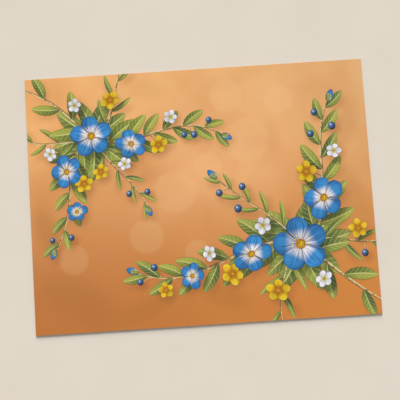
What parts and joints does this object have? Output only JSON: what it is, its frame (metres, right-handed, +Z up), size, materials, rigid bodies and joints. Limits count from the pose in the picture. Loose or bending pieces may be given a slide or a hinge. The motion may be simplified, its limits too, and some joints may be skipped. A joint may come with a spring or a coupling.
{
  "type": "placemat",
  "caption": "Flat rectangular table placemat: a printed wipe-clean face on a thin stiff core with a non-slip underside, cut square at the corners.",
  "frame": {"origin": "centre of the underside, on the table", "axes": "+Z up out of the printed face, +X along the long side to the right of a reader, +Y to the top edge"},
  "size_m": [0.4, 0.3, 0.0018],
  "materials": {
    "print_sheet": "printed film with a satin laminate, apricot-orange ground",
    "core_sheet": "tan foamed sheet, seen only at the cut edge",
    "grip_sheet": "matte grey non-slip sheet with a fine raised texture"
  },
  "bodies": {
    "root": {"print_sheet": "print_sheet", "core_sheet": "core_sheet", "grip_sheet": "grip_sheet"}
  },
  "joints": []
}
